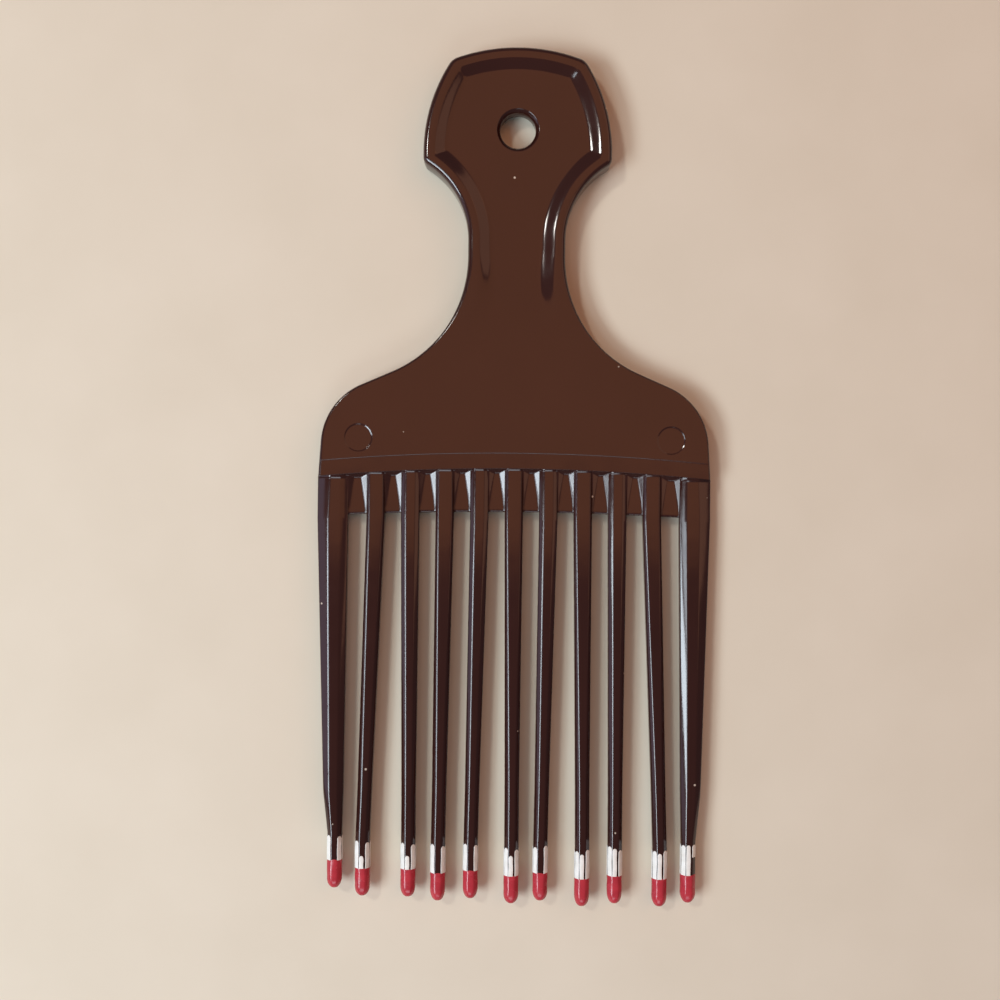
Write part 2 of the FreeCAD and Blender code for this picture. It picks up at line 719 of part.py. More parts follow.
def make_undercoat(tooth):
    """The white patches on the facets of a tooth's nose, with cut upper corners, above the red coat."""
    rise = size.nose_flats.number / 2
    half = rise * OCTAGON.number - size.coat_margin.number
    lengths = {
        "left": tooth.coat_left.number,
        "front": tooth.coat_front.number,
        "right": tooth.coat_right.number,
    }
    patches = []
    for facet, side in enumerate(FACETS):
        length = lengths[side]
        if length <= half:
            continue
        right = ((half, 0), (half, length - half / 2), (half / 2, length))
        outline = right + tuple((-x, y) for x, y in reversed(right))
        spots = [FreeCAD.Vector(x, y, rise) for x, y in outline]
        face = Part.Face(Part.makePolygon(spots + spots[:1]))
        patch = face.extrude(FreeCAD.Vector(0, 0, size.coat_thickness.number))
        patch.rotate(FreeCAD.Vector(), FreeCAD.Vector(0, 1, 0), facet * 360 / len(FACETS))
        patches.append(patch)
    coat = doc.addObject("Part::Feature", f"undercoat_{tooth.number}")
    coat.Label = f"undercoat_{tooth.number}"
    coat.Shape = Part.Compound(patches)
    place(coat, tip_centre(tooth), -tip_drop(tooth, size.tip_length))
    return coat


def arch_radius(rise):
    """Radius of an arch that spans the plate's width with a rise at the middle."""
    return (PLATE_SIDE ** 2 + rise ** 2) / (rise * 2)


def arch_turn(rise):
    """Angle in degrees over which an arch of that rise runs from the middle of one guard to the other."""
    share = (PLATE_SIDE - size.guard_width / 2) / arch_radius(rise)
    return Formula(f"(2 * asin({share.text}))", 2 * math.degrees(math.asin(share.number)))


def turn(body, kind, name, profile, top, rise):
    """Turns a side view drawn at the middle of the comb along an arch whose top stands at a height there."""
    axis_y = top - arch_radius(rise)
    line = Part.LineSegment(spot_of((axis_y, ZERO)), spot_of((axis_y, HALF_TOOTH)))
    axis = profile.addGeometry(line, True)
    pin(profile, axis, 1, axis_y, ZERO)
    pin(profile, axis, 2, axis_y, HALF_TOOTH)
    feature = body.newObject(f"PartDesign::{kind}", name)
    feature.Profile = profile
    feature.ReferenceAxis = (profile, ["Axis0"])
    feature.Midplane = True
    feature.setExpression(".Angle", arch_turn(rise).text)
    return feature


def hollow(run, rise):
    """Radius of an arc that starts level and climbs by a rise over a run."""
    return (run ** 2 + rise ** 2) / (rise * 2)


def draw_scoop(sketch):
    """Side view of the hollow slope that sinks from the plate's lower edge to the web, on both faces."""
    foot, floor = size.edge_rise - size.scoop_length, size.web_thickness / 2
    radius = hollow(size.scoop_length, HALF_TOOTH - floor)
    corners = [(foot, floor), (size.edge_rise, HALF_TOOTH), (COVER, HALF_TOOTH)]
    corners += [(y, -z) for y, z in reversed(corners)]
    draw_loop(sketch, corners, {0: radius, 4: radius})


def draw_cell(sketch, left, right):
    """Section of the web between two teeth; its hollow sides climb to the bevels and key into the teeth."""
    level, floor = HALF_TOOTH - size.bevel_depth, size.web_thickness / 2
    run = smallest([size.cell_fillet, (right - left) * CELL_SHARE])
    radius = hollow(run, level - floor)
    corners = [
        (left - size.web_key, level),
        (left, level),
        (left + run, floor),
        (right - run, floor),
        (right, level),
        (right + size.web_key, level),
    ]
    corners += [(x, -z) for x, z in reversed(corners)]
    draw_loop(sketch, corners, {1: radius, 3: radius, 7: radius, 9: radius})


def draw_web_edge(sketch, foot):
    """Side view of what is taken off below the web: it leaves an edge that thins on both faces."""
    floor, edge = size.web_thickness / 2, size.web_edge_thickness / 2
    top = foot + size.web_edge_run * (HALF_TOOTH - edge) / (floor - edge)
    far = -ROOT_DROP * 2
    corners = [(far, HALF_TOOTH), (top, HALF_TOOTH), (foot, edge)]
    corners += [(y, -z) for y, z in reversed(corners)]
    draw_loop(sketch, corners)


def make_web():
    """The web: a slope along the plate's edge, a cell between each two teeth, and the arched lower edge."""
    body = new_body("web_form")
    scoop = new_sketch(body, "scoop_profile", "YZ_Plane")
    draw_scoop(scoop)
    turn(body, "Revolution", "scoop", scoop, size.edge_rise, size.edge_rise)
    for tooth, after in zip(teeth, teeth[1:]):
        cell = new_sketch(body, f"cell_section_{tooth.number}", "XZ_Plane", -COVER)
        draw_cell(cell, root_sides(tooth)["sides"][1], root_sides(after)["sides"][0])
        pad = body.newObject("PartDesign::Pad", f"cell_{tooth.number}")
        pad.Profile = cell
        pad.setExpression(".Length", (COVER + ROOT_DROP).text)
    edge = new_sketch(body, "web_edge_profile", "YZ_Plane")
    foot = size.web_rise - size.web_drop
    draw_web_edge(edge, foot)
    base = body.Tip
    cuts.append((turn(body, "Groove", "web_edge", edge, foot, size.web_rise), base))
    return body


def make_root(tooth):
    """The root of a tooth, from inside the plate, where a guard's outer side is drawn in to stay covered."""
    full = root_section(tooth)
    stations = [("cover", -COVER, full), ("foot", ROOT_DROP, full)]
    if tooth.guard:
        stations[0] = ("cover", -COVER, root_section(tooth, size.edge_bevel))
        stations.insert(1, ("line", ZERO, full))
    return loft_body(f"root_{tooth.number}", stations)


def make_handle():
    """Grip, web and tooth roots as one solid."""
    handle = doc.addObject("Part::MultiFuse", "handle")
    handle.Label = "handle"
    handle.Shapes = [make_grip(), make_web()] + [make_root(tooth) for tooth in teeth]
    handle.Refine = True
    place(handle)
    return handle


def check(pieces):
    """Stops where an object of the document failed, a pocket cuts nothing or a piece has no sound solid."""
    failed = [item.Name for item in doc.Objects if {"Invalid", "Error"} & set(item.State)]
    if failed:
        raise RuntimeError(f"failed objects: {failed}")
    for pocket, base in cuts:
        if pocket.Shape.Volume >= base.Shape.Volume:
            raise RuntimeError(f"{pocket.Name} cuts nothing")
    for piece in pieces:
        if piece.Shape.isNull() or not piece.Shape.isValid() or not piece.Shape.Solids:
            raise RuntimeError(f"{piece.Label} has no valid solid")


def main():
    pieces = []
    for tooth in teeth:
        pieces += [make_tooth(tooth), make_tip(tooth), make_undercoat(tooth)]
    doc.recompute()
    pieces.append(make_handle())
    doc.recompute()
    check(pieces)
    os.makedirs("parts", exist_ok=True)
    for piece in pieces:
        piece.Shape.exportStep(f"parts/{piece.Label}.step")
        print(f"{piece.Label}: {len(piece.Shape.Solids)} solids, {piece.Shape.Volume:.1f} mm3")


main()
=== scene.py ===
# Looks of the afro pick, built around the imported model.
# Lengths of the pick are millimetres about the tooth root line (Y 0) and the mid-plane (Z 0).
# Materials, floor, lights and camera are in metres.
import math
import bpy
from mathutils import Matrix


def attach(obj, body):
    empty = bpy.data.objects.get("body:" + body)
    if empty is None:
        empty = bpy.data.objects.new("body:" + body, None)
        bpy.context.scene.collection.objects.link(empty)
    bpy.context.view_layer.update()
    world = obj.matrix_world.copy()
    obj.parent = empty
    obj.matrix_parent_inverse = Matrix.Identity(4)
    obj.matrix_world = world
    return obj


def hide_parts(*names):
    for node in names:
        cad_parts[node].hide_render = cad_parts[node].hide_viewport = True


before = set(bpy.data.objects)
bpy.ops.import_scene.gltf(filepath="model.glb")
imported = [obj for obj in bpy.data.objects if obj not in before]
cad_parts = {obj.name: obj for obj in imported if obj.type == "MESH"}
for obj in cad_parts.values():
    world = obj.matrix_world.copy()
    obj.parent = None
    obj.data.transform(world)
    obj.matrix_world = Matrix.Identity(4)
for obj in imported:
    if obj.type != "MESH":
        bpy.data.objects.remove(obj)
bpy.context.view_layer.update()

from types import SimpleNamespace

import bmesh
import bpy
import numpy as np
from mathutils import Matrix, Vector
from mathutils.geometry import tessellate_polygon

SCALE = 0.001

# Sizes of the solids: thickness and dish
HALF_PLATE = 1.8
RIM_HEIGHT = 1.0
HALF_RIM = HALF_PLATE + RIM_HEIGHT
RIM_WIDTH = 1.9
RIM_SLOPE = 2.1
RAMP_TOP = 43.5
RAMP_FOOT = 23.5

# Sizes of the solids: outline of the head, the neck and the plate
HEAD_TOP = 82.5
HEAD_TOP_RADIUS = 35.0
HEAD_CORNER_RADIUS = 3.0
HEAD_SIDE_RADIUS = 32.0
HEAD_HALF_WIDTH = 18.1
HEAD_WIDEST = 62.4
HEEL_RADIUS = 1.6
DISH_CORNER_RADIUS = 1.0
THROAT_RADIUS = 17.0
NECK_TOP = 45.5
NECK_FOOT = 42.5
NECK_HALF_WIDTH = 9.33
WAIST_RADIUS = 24.0
SHOULDER_ANGLE = math.radians(66.5)
SHOULDER_RADIUS = 13.0
FLANK_ANGLE = math.radians(3.7)
FLANK_HEIGHT = 6.84
PLATE_SIDE = 37.9
EDGE_RISE = 1.8

# Sizes of the solids: lower strip, hang hole and the two marks on the plate
STRIP_WIDTH = 3.0
STRIP_DROP = 0.15
HOLE_RADIUS = 3.45
HOLE_HEIGHT = 66.8
WITNESS_RADIUS = 2.6
WITNESS_SPOT = (30.0, 7.5)

# Sizes of the solids: teeth, of which the first and the last are guards
HALF_TOOTH = 1.4
TOOTH_PITCH = 6.65
TOOTH_WIDTH = 3.55
BROAD_BEVEL = 0.5
SLIM_BEVEL = 0.925
BEVEL_DEPTH = 0.5
GUARD_WIDTH = 6.0
GUARD_OUTER_BEVEL = 2.2
GUARD_INNER_BEVEL = 1.5
GUARD_KNEE_WIDTH = 3.9
GUARD_KNEE_INSET = 3.45
GUARD_TIP_INSET = 3.8
TOOTH_LENGTH = 82.5
ROOT_DROP = 8.0
KNEE_DROP = 60.5
NOSE_FLATS = 2.8
NOSE_MARGIN = 0.5
OCTAGON = math.sqrt(2) - 1
# Each tooth from left to right: lean and shortfall at the tip, and the white on its left, front and right
TEETH = (
    (0.2, 3.1, 4.4, 0.0, 4.2),
    (-1.9, 1.6, 4.9, 2.1, 4.6),
    (0.25, 1.5, 4.7, 2.3, 4.4),
    (-0.65, 0.8, 5.2, 0.0, 4.8),
    (-1.0, 1.3, 4.8, 0.0, 4.6),
    (0.2, 0.4, 5.0, 3.6, 4.7),
    (-0.85, 1.0, 4.6, 0.0, 4.9),
    (0.55, 0.0, 4.9, 4.4, 5.2),
    (0.2, 0.6, 5.3, 5.0, 4.6),
    (2.2, 0.1, 5.0, 4.6, 5.1),
    (0.2, 0.9, 5.4, 5.5, 2.3),
)
MIDDLE = len(TEETH) // 2

# Sizes of the solids: web and coats
WEB_FLOOR = 0.6
WEB_EDGE = 0.3
WEB_DROP = 7.6
WEB_RISE = 1.1
TIP_LENGTH = 6.0
TIP_FLATS = 3.0
COAT_THICKNESS = 0.08
COAT_MARGIN = 0.1

# Looks of the outer edge: radius at the plate, growth of the radius towards the head, and lean of the walls
EDGE_ROUND = 0.5
EDGE_SPREAD = 1.0
WALL_DRAFT = 0.22
HEAD_DRAFT = 0.03
EDGE_ANGLES = np.radians((0, 12, 25, 40, 55, 70, 82, 90))

# Looks of the dish: the soft ends of its slope, the turn in its upper corners, and the shares of the slope
# and the steps beyond it at which rings are drawn
SLOPE_FILLET = 0.6
DISH_TURN = 1.8
SLOPE_SHARES = (0, 0.06, 0.12, 0.18, 0.24, 0.4, 0.6, 0.76, 0.82, 0.88, 0.94, 1)
FLOOR_STEPS = (0.15, 0.3)

# Rings lie wider at the shoulders and closer at the plate; each change has a start and an end height
SLOPE_SPREAD = 0.8
SPREAD_GROWS = (44.5, 26.5)
SPREAD_FADES = (15.0, 23.0)
PLATE_SPREAD = 0.3
CLOSING_GROWS = (18.0, 10.0)
CLOSING_FADES = (4.0, 6.0)

# Looks of the strip: heights above the plate's lower edge at which it is drawn, the height above which the
# flat floor begins, the rounding of the lower edge, and the fine step along the strip's top
STRIP_HEIGHTS = (
    5.2, 4.2, 3.5, 3.2, 3.07, 3.04, 3.015, 2.985, 2.96, 2.93,
    2.8, 2.2, 1.4, 0.7, 0.3, 0.1, 0.06, 0.03, 0.01, 0.0,
)
STRIP_START = 3.49
STRIP_ROUND = 0.06
STRIP_STEP = 0.05
STRIP_STEP_RUN = 0.1

# Steps of the hole's chamfer and of the marks: distance outside the circle and depth below the face
HOLE_STEPS = ((0.95, 0.0), (0.68, 0.0), (0.6, 0.03), (0.55, 0.08), (0.05, 0.62), (0.0, 0.72))
WITNESS_STEPS = ((0.2, 0), (0.13, 0), (0.07, 0.016), (-0.07, 0.107), (-0.13, 0.123), (-0.2, 0.123))

# Looks of the teeth: rounding of long edges, reach of the roots into the plate, and the guards' outer bevel
TOOTH_ROUND = 0.22
LONGEST_CUT = 0.4
ROOT_HOLD = 2.6
GUARD_HOLD = 1.2
GUARD_FLARE = 0.3
GUARD_STEEPNESS = 0.45
# Shares of the taper and of the run to the nose at which teeth are drawn, and their reach into the red coat
TAPER_SHARES = (0.25, 0.5, 0.75, 0.97)
KNEE_SHARES = (0.06, 0.5)
NOSE_HOLD = 0.4

# Collars where the teeth leave the plate: height, upper and lower end, and shares at which they are drawn
COLLAR_RISE = 0.13
COLLAR_TOP = 0.1
COLLAR_FOOT = 0.36
COLLAR_END = 0.05
COLLAR_SHARES = (0.0, 0.08, 0.92, 1.0)

# Looks of the web: gussets beside the teeth, the climb to the plate, the thin lower edge and the rows drawn
GUSSET_REACH = 1.3
GUSSET_END = 0.3
GUSSET_RISE = 0.55
GUSSET_LENGTH = 6.5
SCOOP_LENGTH = 0.8
WEB_EDGE_RUN = 0.3
WEB_BLEND = 0.06
CELL_HOLD = 0.4
CELL_BELOW_PLATE = (
    -0.5, 0.0, 0.1, 0.2, 0.3, 0.42, 0.55, 0.7, 0.85, 1.0, 1.2, 1.4, 1.7, 2.2, 3.0, 4.0, 5.0,
)
CELL_ABOVE_EDGE = (1.6, 1.0, 0.5, WEB_EDGE_RUN, 0.15, 0.05, 0.0)

# Looks of the red coats: share of a circle in the section, round end, lip, wavering upper edge, and the
# phase by which one coat differs from the next
DIP_ROUNDNESS = 0.55
DIP_MARGIN = 0.05
DIP_CAP = 2.2
DIP_LIP = 0.12
DIP_WAVER = 0.14
DIP_WAVER_RUN = 2.0
DIP_PHASE = 1.7
# Slow lumps: height, waves round the coat with their phase, and waves along it with their phase
DIP_LUMPS = ((0.025, 3, 2, 1.3, 1), (0.02, 2, -1, 2.1, 2))

# Looks of the white patches: tuck under the red, wavering sides, and the edge as distance drawn in and
# share of the thickness; front patches are narrower and off centre, and one is clear of the red
COAT_TUCK = 0.35
PATCH_WAVER = 0.03
PATCH_WAVES = (7, 6)
PATCH_PHASES = (2.3, 1.1)
PATCH_STEPS = ((0.0, -0.05), (0.0, 0.4), (0.03, 0.85), (0.07, 1.0))
PATCH_SIDES = ("front", "right", "right", "right", "front", "left", "left", "left")
FRONT_SHARE = 0.85
FRONT_SHIFT = 0.09
STRAY_PATCH = (len(TEETH) - 1, "right")
STRAY_LIFT = 3.2

# Fineness of the meshes: points along the runs of the outline, and along other forms
TOP_POINTS = 16
TURN_POINTS = 9
SIDE_POINTS = 22
THROAT_POINTS = 26
NECK_POINTS = 5
WAIST_POINTS = 34
SHOULDER_POINTS = 20
CIRCLE_POINTS = 64
STRIP_POINTS = 90
ROUND_POINTS = 4
CELL_POINTS = 27
TIP_RINGS = 26
TIP_POINTS = 48
PATCH_POINTS = 12
PATCH_TOP_POINTS = 11
# Distances under which points count as one, and the angle from which an edge is sharp
SAME_POINT = 1e-6
WELD_DISTANCE = 0.002
LEAST_EDGE = 0.001
SHARP_ANGLE = math.radians(38)

# Stage: floor and camera in metres, the camera's sensor in millimetres
FLOOR_REACH = 1.5
FLOOR_GAP = 0.00002
PICTURE_PIXELS = 1000
FOCAL_PIXELS = 1080
SENSOR_WIDTH = 36.0
CAMERA_PLACE = (-0.0027, -0.0042, 0.2115)
CAMERA_TURN = math.radians(0.61)


class Shell:
    """Points and faces that are gathered into one mesh."""

    def __init__(self):
        self.points = []
        self.faces = []

    def add(self, points):
        """Adds points and returns their numbers."""
        start = len(self.points)
        self.points += [tuple(point) for point in points]
        return list(range(start, len(self.points)))

    def grid(self, rows, closed=False):
        """Quads between rows of points; closed joins the end of each row to its start."""
        numbers = [self.add(row) for row in rows]
        for first, second in zip(numbers, numbers[1:]):
            pairs = list(zip(first, second))
            ends = pairs[1:] + pairs[:1] if closed else pairs[1:]
            for (a, b), (d, c) in zip(pairs, ends):
                self.faces.append((a, b, c, d))

    def fill(self, loops):
        """Flat triangles inside a loop of points, with further loops as holes."""
        numbers = []
        for loop in loops:
            numbers += self.add(loop)
        outlines = [[Vector(point) for point in loop] for loop in loops]
        for triangle in tessellate_polygon(outlines):
            self.faces.append(tuple(numbers[corner] for corner in triangle))

    def piece(self, name, material, node):
        """Welds the points, and makes an object that stands for a node of the frame."""
        placed = [(x * SCALE, y * SCALE, (z + HALF_RIM) * SCALE) for x, y, z in self.points]
        mesh = bpy.data.meshes.new(name)
        mesh.from_pydata(placed, [], self.faces)
        work = bmesh.new()
        work.from_mesh(mesh)
        bmesh.ops.remove_doubles(work, verts=work.verts, dist=WELD_DISTANCE * SCALE)
        bmesh.ops.dissolve_degenerate(work, edges=work.edges, dist=LEAST_EDGE * SCALE)
        bmesh.ops.recalc_face_normals(work, faces=work.faces)
        for face in work.faces:
            face.smooth = True
        work.to_mesh(mesh)
        work.free()
        mesh.set_sharp_from_angle(angle=SHARP_ANGLE)
        mesh.materials.append(material)
        thing = bpy.data.objects.new(name, mesh)
        bpy.context.scene.collection.objects.link(thing)
        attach(thing, "root")
        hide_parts(node)
        return thing


# Lines, arcs and soft changes

def arc(centre, radius, start, end, count):
    """Points on an arc from one angle to another."""
    angles = np.linspace(start, end, count)
    return [np.array(centre) + radius * np.array((math.cos(a), math.sin(a))) for a in angles]


def line(start, end, count):
    """Points on a straight line."""
    way = np.array(end) - np.array(start)
    return [np.array(start) + way * share for share in np.linspace(0, 1, count)]


def circle(centre, radius, level):
    """Points of a circle that lies flat at a level."""
    angles = [2 * math.pi * step / CIRCLE_POINTS for step in range(CIRCLE_POINTS)]
    return [(centre[0] + radius * math.cos(a), centre[1] + radius * math.sin(a), level) for a in angles]


def heading(start, end):
    """Angle of the way from one point to another."""
    return math.atan2(end[1] - start[1], end[0] - start[0])


def upper_meeting(first, first_radius, second, second_radius):
    """The upper of the two points where two circles cross."""
    span = np.array(second) - np.array(first)
    length = np.linalg.norm(span)
    along = (length ** 2 + first_radius ** 2 - second_radius ** 2) / (2 * length)
    across = math.sqrt(first_radius ** 2 - along ** 2)
    unit = span / length
    foot = np.array(first) + unit * along
    side = np.array((-unit[1], unit[0]))
    return max((foot + side * across, foot - side * across), key=lambda spot: spot[1])


def clamp(value):
    """The value, held between 0 and 1."""
    return min(max(value, 0.0), 1.0)


def smooth_step(share):
    """A share that starts and ends softly."""
    share = clamp(share)
    return share * share * (3 - 2 * share)


def change(value, start, end):
    """Goes softly from 0 to 1 while a value goes from start to end."""
    return smooth_step((value - start) / (end - start))


def soft_lower(a, b, blend):
    """The lower of two heights, with a soft change from one to the other."""
    share = clamp(0.5 + 0.5 * (b - a) / blend)
    return b + (a - b) * share - blend * share * (1 - share)


def edge_drop(inset, radius):
    """How far a rounded edge has fallen away at a distance from the edge."""
    if inset >= radius:
        return 0.0
    return radius - math.sqrt(radius ** 2 - (radius - max(inset, 0.0)) ** 2)


def behind(row):
    """The same points on the back face."""
    return [(x, y, -z) for x, y, z in row]


def all_behind(rows):
    """The same rows of points on the back face."""
    return [behind(row) for row in rows]


def both_sides(right):
    """A run of points from the left end over the middle to the right end, given its right half."""
    left = [(-x, y, z) for x, y, z in reversed(right[1:])]
    return left + right


# Outline of the handle

def arch(x, rise=EDGE_RISE):
    """Height of an arch over the plate's width that rises at the middle."""
    radius = (PLATE_SIDE ** 2 + rise ** 2) / (2 * rise)
    return rise - radius + math.sqrt(radius ** 2 - x ** 2)


def web_edge(x):
    """Height of the web's lower edge."""
    return arch(x, WEB_RISE) - WEB_DROP


def shoulder_point(inset, angle):
    """A point of the rounded shoulder, moved inwards."""
    flank_top = np.array((PLATE_SIDE - FLANK_HEIGHT * math.tan(FLANK_ANGLE), FLANK_HEIGHT))
    centre = flank_top - SHOULDER_RADIUS * np.array((math.cos(FLANK_ANGLE), math.sin(FLANK_ANGLE)))
    return centre + (SHOULDER_RADIUS - inset) * np.array((math.cos(angle), math.sin(angle)))


def flank_foot(inset, height):
    """The point of the plate's side, moved inwards, that is a height above the lower edge."""
    top = shoulder_point(inset, FLANK_ANGLE)
    spot = top
    # The lower edge is arched, so the drop is worked out again from each new spot
    for _ in range(4):
        drop = top[1] - height - arch(spot[0])
        spot = top + np.array((math.tan(FLANK_ANGLE), -1)) * drop
    return spot


def edge_points(inset):
    """Right half of the outline, from the head's top to the plate's lower edge, moved inwards."""
    top = (0, HEAD_TOP - HEAD_TOP_RADIUS)
    side = (HEAD_HALF_WIDTH - HEAD_SIDE_RADIUS, HEAD_WIDEST)
    throat = (NECK_HALF_WIDTH + THROAT_RADIUS, NECK_TOP)
    waist = (NECK_HALF_WIDTH + WAIST_RADIUS, NECK_FOOT)
    top_radius, side_radius = HEAD_TOP_RADIUS - inset, HEAD_SIDE_RADIUS - inset
    throat_radius, waist_radius = THROAT_RADIUS + inset, WAIST_RADIUS + inset
    corner = max(HEAD_CORNER_RADIUS - inset, DISH_TURN)
    heel = max(HEEL_RADIUS - inset, DISH_CORNER_RADIUS)
    corner_spot = upper_meeting(top, top_radius - corner, side, side_radius - corner)
    heel_spot = upper_meeting(side, side_radius - heel, throat, throat_radius + heel)
    to_corner, from_corner = heading(top, corner_spot), heading(side, corner_spot)
    to_heel, from_heel = heading(side, heel_spot), heading(heel_spot, throat)
    neck = NECK_HALF_WIDTH - inset
    shoulder_angles = np.linspace(SHOULDER_ANGLE, FLANK_ANGLE, SHOULDER_POINTS)
    runs = [
        arc(top, top_radius, math.pi / 2, to_corner, TOP_POINTS),
        arc(corner_spot, corner, to_corner, from_corner, TURN_POINTS),
        arc(side, side_radius, from_corner, to_heel, SIDE_POINTS),
        arc(heel_spot, heel, to_heel, from_heel, TURN_POINTS),
        arc(throat, throat_radius, heading(throat, heel_spot), math.pi, THROAT_POINTS),
        line((neck, NECK_TOP), (neck, NECK_FOOT), NECK_POINTS),
        arc(waist, waist_radius, math.pi, math.pi + SHOULDER_ANGLE, WAIST_POINTS),
        [shoulder_point(inset, angle) for angle in shoulder_angles],
        [flank_foot(inset, height) for height in STRIP_HEIGHTS],
    ]
    points = list(runs[0])
    for run in runs[1:]:
        points += [point for point in run if np.linalg.norm(point - points[-1]) > SAME_POINT]
    return points


# Faces of the handle

def headward(y):
    """0 at the plate, 1 at the neck and head, with a soft change up the ramp."""
    return change(y, RAMP_FOOT, RAMP_TOP)


def edge_spread(y):
    """How much rounder the edge is at the head and neck than at the plate."""
    return 1 + EDGE_SPREAD * headward(y)


def wall_draft(y):
    """How far the side wall leans in from the parting line to the rounded edge."""
    return WALL_DRAFT + (HEAD_DRAFT - WALL_DRAFT) * headward(y)


def slope_spread(y):
    """How much wider the dish's rings lie at the shoulders, and closer at the plate."""
    wider = SLOPE_SPREAD * change(y, *SPREAD_GROWS) * change(y, *SPREAD_FADES)
    closer = PLATE_SPREAD * change(y, *CLOSING_GROWS) * change(y, *CLOSING_FADES)
    return 1 + wider - closer


def slope_height(inset):
    """Height of the dish's side above its floor: a straight slope with hollow and rounded ends."""
    up = (RIM_WIDTH + RIM_SLOPE - inset) / RIM_SLOPE
    ease = SLOPE_FILLET / RIM_SLOPE
    if up < ease:
        share = max(up + ease, 0.0) ** 2 / (4 * ease)
    elif up > 1 - ease:
        share = 1 - max(1 - up + ease, 0.0) ** 2 / (4 * ease)
    else:
        share = up
    return RIM_HEIGHT * clamp(share)


def strip_drop(height):
    """How far the plate's face has fallen away at a height above its lower edge."""
    bevel = (STRIP_DROP - STRIP_STEP) * clamp((STRIP_WIDTH - height) / STRIP_WIDTH)
    step = STRIP_STEP * smooth_step((STRIP_WIDTH - height) / STRIP_STEP_RUN + 0.5)
    return bevel + step + edge_drop(height, STRIP_ROUND)


def face_height(spot, inset):
    """Level of the front face at a point of the outline that is moved inwards by inset."""
    rise = slope_height(inset) * headward(spot[1])
    drop = edge_drop(inset, EDGE_ROUND) * edge_spread(spot[1])
    if spot[1] < FLANK_HEIGHT:
        drop += strip_drop(spot[1] - arch(spot[0]))
    return HALF_PLATE + rise - drop


def face_insets():
    """Distances of the face's rings from its edge: round the edge, over the slope and onto the floor."""
    low = RIM_WIDTH - SLOPE_FILLET
    high = RIM_WIDTH + RIM_SLOPE + SLOPE_FILLET
    insets = [EDGE_ROUND * (1 - math.cos(angle)) for angle in EDGE_ANGLES]
    insets += [low + (high - low) * share for share in SLOPE_SHARES]
    insets += [high + step for step in FLOOR_STEPS]
    return insets


def face_rings():
    """Rings on the front face from its edge inwards, each from the left foot to the right one."""
    outline, lane = edge_points(0), edge_points(EDGE_ROUND)
    rings = []
    for inset in face_insets():
        right = []
        for base, near, spot in zip(outline, lane, edge_points(inset + WALL_DRAFT)):
            if inset <= EDGE_ROUND:
                reach = inset * edge_spread(base[1]) + wall_draft(base[1])
                spot = base + (near - base) * (reach / EDGE_ROUND)
            else:
                spot = base + (spot - base) * slope_spread(base[1])
            right.append((spot[0], spot[1], face_height(spot, inset)))
        rings.append(both_sides(right))
    return rings


def strip_rows(feet):
    """Rows across the plate, from those points of the inner ring that lie beside the lower strip."""
    rows = []
    for spot in reversed(feet):
        height = spot[1] - arch(spot[0])
        level = HALF_PLATE - strip_drop(height)
        across = np.linspace(spot[0], -spot[0], STRIP_POINTS)
        rows.append([(x, arch(x) + height, level) for x in across])
    return rows


def hole_rows():
    """Circles of the hang hole's chamfer."""
    centre = (0, HOLE_HEIGHT)
    return [circle(centre, HOLE_RADIUS + out, HALF_PLATE - down) for out, down in HOLE_STEPS]


def witness_rows(side):
    """Circles of the low step round the mark on one side of the plate."""
    centre = (WITNESS_SPOT[0] * side, WITNESS_SPOT[1])
    return [circle(centre, WITNESS_RADIUS + out, HALF_PLATE - down) for out, down in WITNESS_STEPS]


def add_face(shell, rings, strip, mouth, floor, marks=()):
    """One face of the handle: its rings, lower strip, hole mouth, marks and flat floor."""
    shell.grid(rings)
    shell.grid(strip)
    shell.grid(mouth, closed=True)
    for rows in marks:
        shell.grid(rows, closed=True)
        shell.fill([rows[-1]])
    shell.fill([floor, mouth[0]] + [rows[0] for rows in marks])


def add_walls(shell, rings, strip, mouth):
    """Walls between the faces: round the outline, along the lower edge and in the hole."""
    outer = rings[0]
    parting = both_sides([(x, y, 0.0) for x, y in edge_points(0)])
    shell.grid([outer, parting, behind(outer)])
    left_feet = [ring[0] for ring in rings[:-1]]
    right_feet = [ring[-1] for ring in reversed(rings[:-1])]
    lower = left_feet + strip[-1] + right_feet
    middle = [parting[0]] + [(x, y, 0.0) for x, y, _ in lower[1:-1]] + [parting[-1]]
    shell.grid([lower, middle, behind(lower)])
    shell.grid([mouth[-1], behind(mouth[-1])], closed=True)


def add_grip(shell):
    """Handle and plate: the front face with two marks, the back face without them, and the walls."""
    rings = face_rings()
    inner = rings[-1]
    start = next(i for i, spot in enumerate(inner) if spot[1] - arch(spot[0]) > STRIP_START)
    strip = strip_rows(inner[:start + 1])
    floor = inner[start:len(inner) - start] + list(reversed(strip[0][1:-1]))
    mouth = hole_rows()
    marks = [witness_rows(side) for side in (-1, 1)]
    add_face(shell, rings, strip, mouth, floor, marks)
    add_face(shell, all_behind(rings), all_behind(strip), all_behind(mouth), behind(floor))
    add_walls(shell, rings, strip, mouth)


# Teeth

def read_tooth(index):
    """One tooth: where it stands and its own sizes."""
    lean, short, left, front, right = TEETH[index]
    guard = index in (0, len(TEETH) - 1)
    side = -1 if index == 0 else 1
    root = TOOTH_PITCH * (index - MIDDLE)
    straight = side * (PLATE_SIDE - GUARD_TIP_INSET) if guard else root
    coat = TOOTH_LENGTH - short - TIP_LENGTH
    white = {"left": left, "front": front, "right": right}
    return SimpleNamespace(
        index=index, number=f"{index + 1:02d}", guard=guard, side=side, root=root, lean=lean,
        tip=straight + lean, coat=coat, nose=coat - max(white.values()) - NOSE_MARGIN, white=white,
    )


